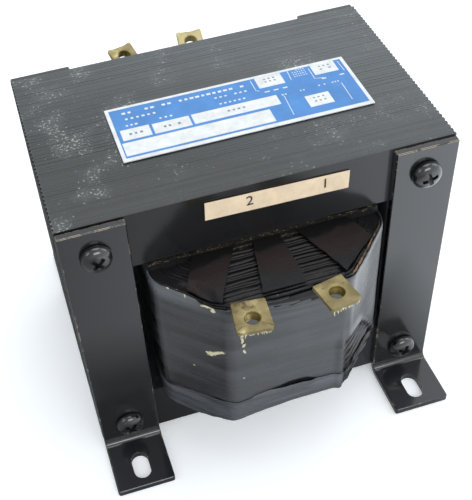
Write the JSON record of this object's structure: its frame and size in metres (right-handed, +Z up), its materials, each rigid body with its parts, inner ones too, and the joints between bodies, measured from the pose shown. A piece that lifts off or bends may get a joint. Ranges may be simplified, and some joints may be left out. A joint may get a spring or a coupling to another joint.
{
  "type": "control transformer",
  "caption": "Open core-and-coil control transformer: interleaved lamination core, layer-wound coil, bent foot brackets and brass terminal lugs.",
  "frame": {"origin": "on the floor plane under the feet, below the middle of the core in both directions", "axes": "+X along the width of the laminations to the right of the label side, +Y through the stack from the label side to the rear, +Z up the legs"},
  "size_m": [0.1334, 0.161, 0.1143],
  "materials": {
    "core_steel": "black varnish over sheet steel edges, satin",
    "bracket_enamel": "gloss black enamel, worn at the edges",
    "fastener_enamel": "gloss black enamel over steel",
    "brass": "dull brass with varnish stains",
    "kraft_paper": "varnished kraft paper",
    "varnished_wire": "enamelled wire under black varnish",
    "black_wrap": "black film, glossy and slightly rippled",
    "varnished_tape": "dark brown varnished paper tape",
    "plate_blue": "printed aluminium, satin",
    "label_paper": "matt paper"
  },
  "bodies": {
    "root": {"e_laminations_1": "core_steel", "e_laminations_2": "core_steel", "e_laminations_3": "core_steel", "e_laminations_4": "core_steel", "e_laminations_5": "core_steel", "e_laminations_6": "core_steel", "i_laminations_1": "core_steel", "i_laminations_2": "core_steel", "i_laminations_3": "core_steel", "i_laminations_4": "core_steel", "i_laminations_5": "core_steel", "i_laminations_6": "core_steel", "bracket_front_left": "bracket_enamel", "bracket_front_right": "bracket_enamel", "bracket_rear_left": "bracket_enamel", "bracket_rear_right": "bracket_enamel", "screw_left_lower": "fastener_enamel", "screw_left_upper": "fastener_enamel", "screw_right_lower": "fastener_enamel", "screw_right_upper": "fastener_enamel", "lock_washer_left_lower": "fastener_enamel", "lock_washer_left_upper": "fastener_enamel", "lock_washer_right_lower": "fastener_enamel", "lock_washer_right_upper": "fastener_enamel", "nut_left_lower": "fastener_enamel", "nut_left_upper": "fastener_enamel", "nut_right_lower": "fastener_enamel", "nut_right_upper": "fastener_enamel", "lug_front_left": "brass", "lug_front_right": "brass", "lug_rear_left": "brass", "lug_rear_right": "brass", "coil_tube": "kraft_paper", "secondary_paper_1": "kraft_paper", "barrier_paper": "kraft_paper", "primary_paper_1": "kraft_paper", "primary_paper_2": "kraft_paper", "lead_insulation": "kraft_paper", "secondary_layer_1": "varnished_wire", "secondary_layer_2": "varnished_wire", "primary_layer_1": "varnished_wire", "primary_layer_2": "varnished_wire", "primary_layer_3": "varnished_wire", "outer_wrap": "black_wrap", "outer_film": "black_wrap", "end_tape_front_left": "varnished_tape", "end_tape_front_middle": "varnished_tape", "end_tape_front_right": "varnished_tape", "end_tape_rear_left": "varnished_tape", "end_tape_rear_middle": "varnished_tape", "end_tape_rear_right": "varnished_tape", "nameplate": "plate_blue", "terminal_label": "label_paper"}
  },
  "joints": []
}
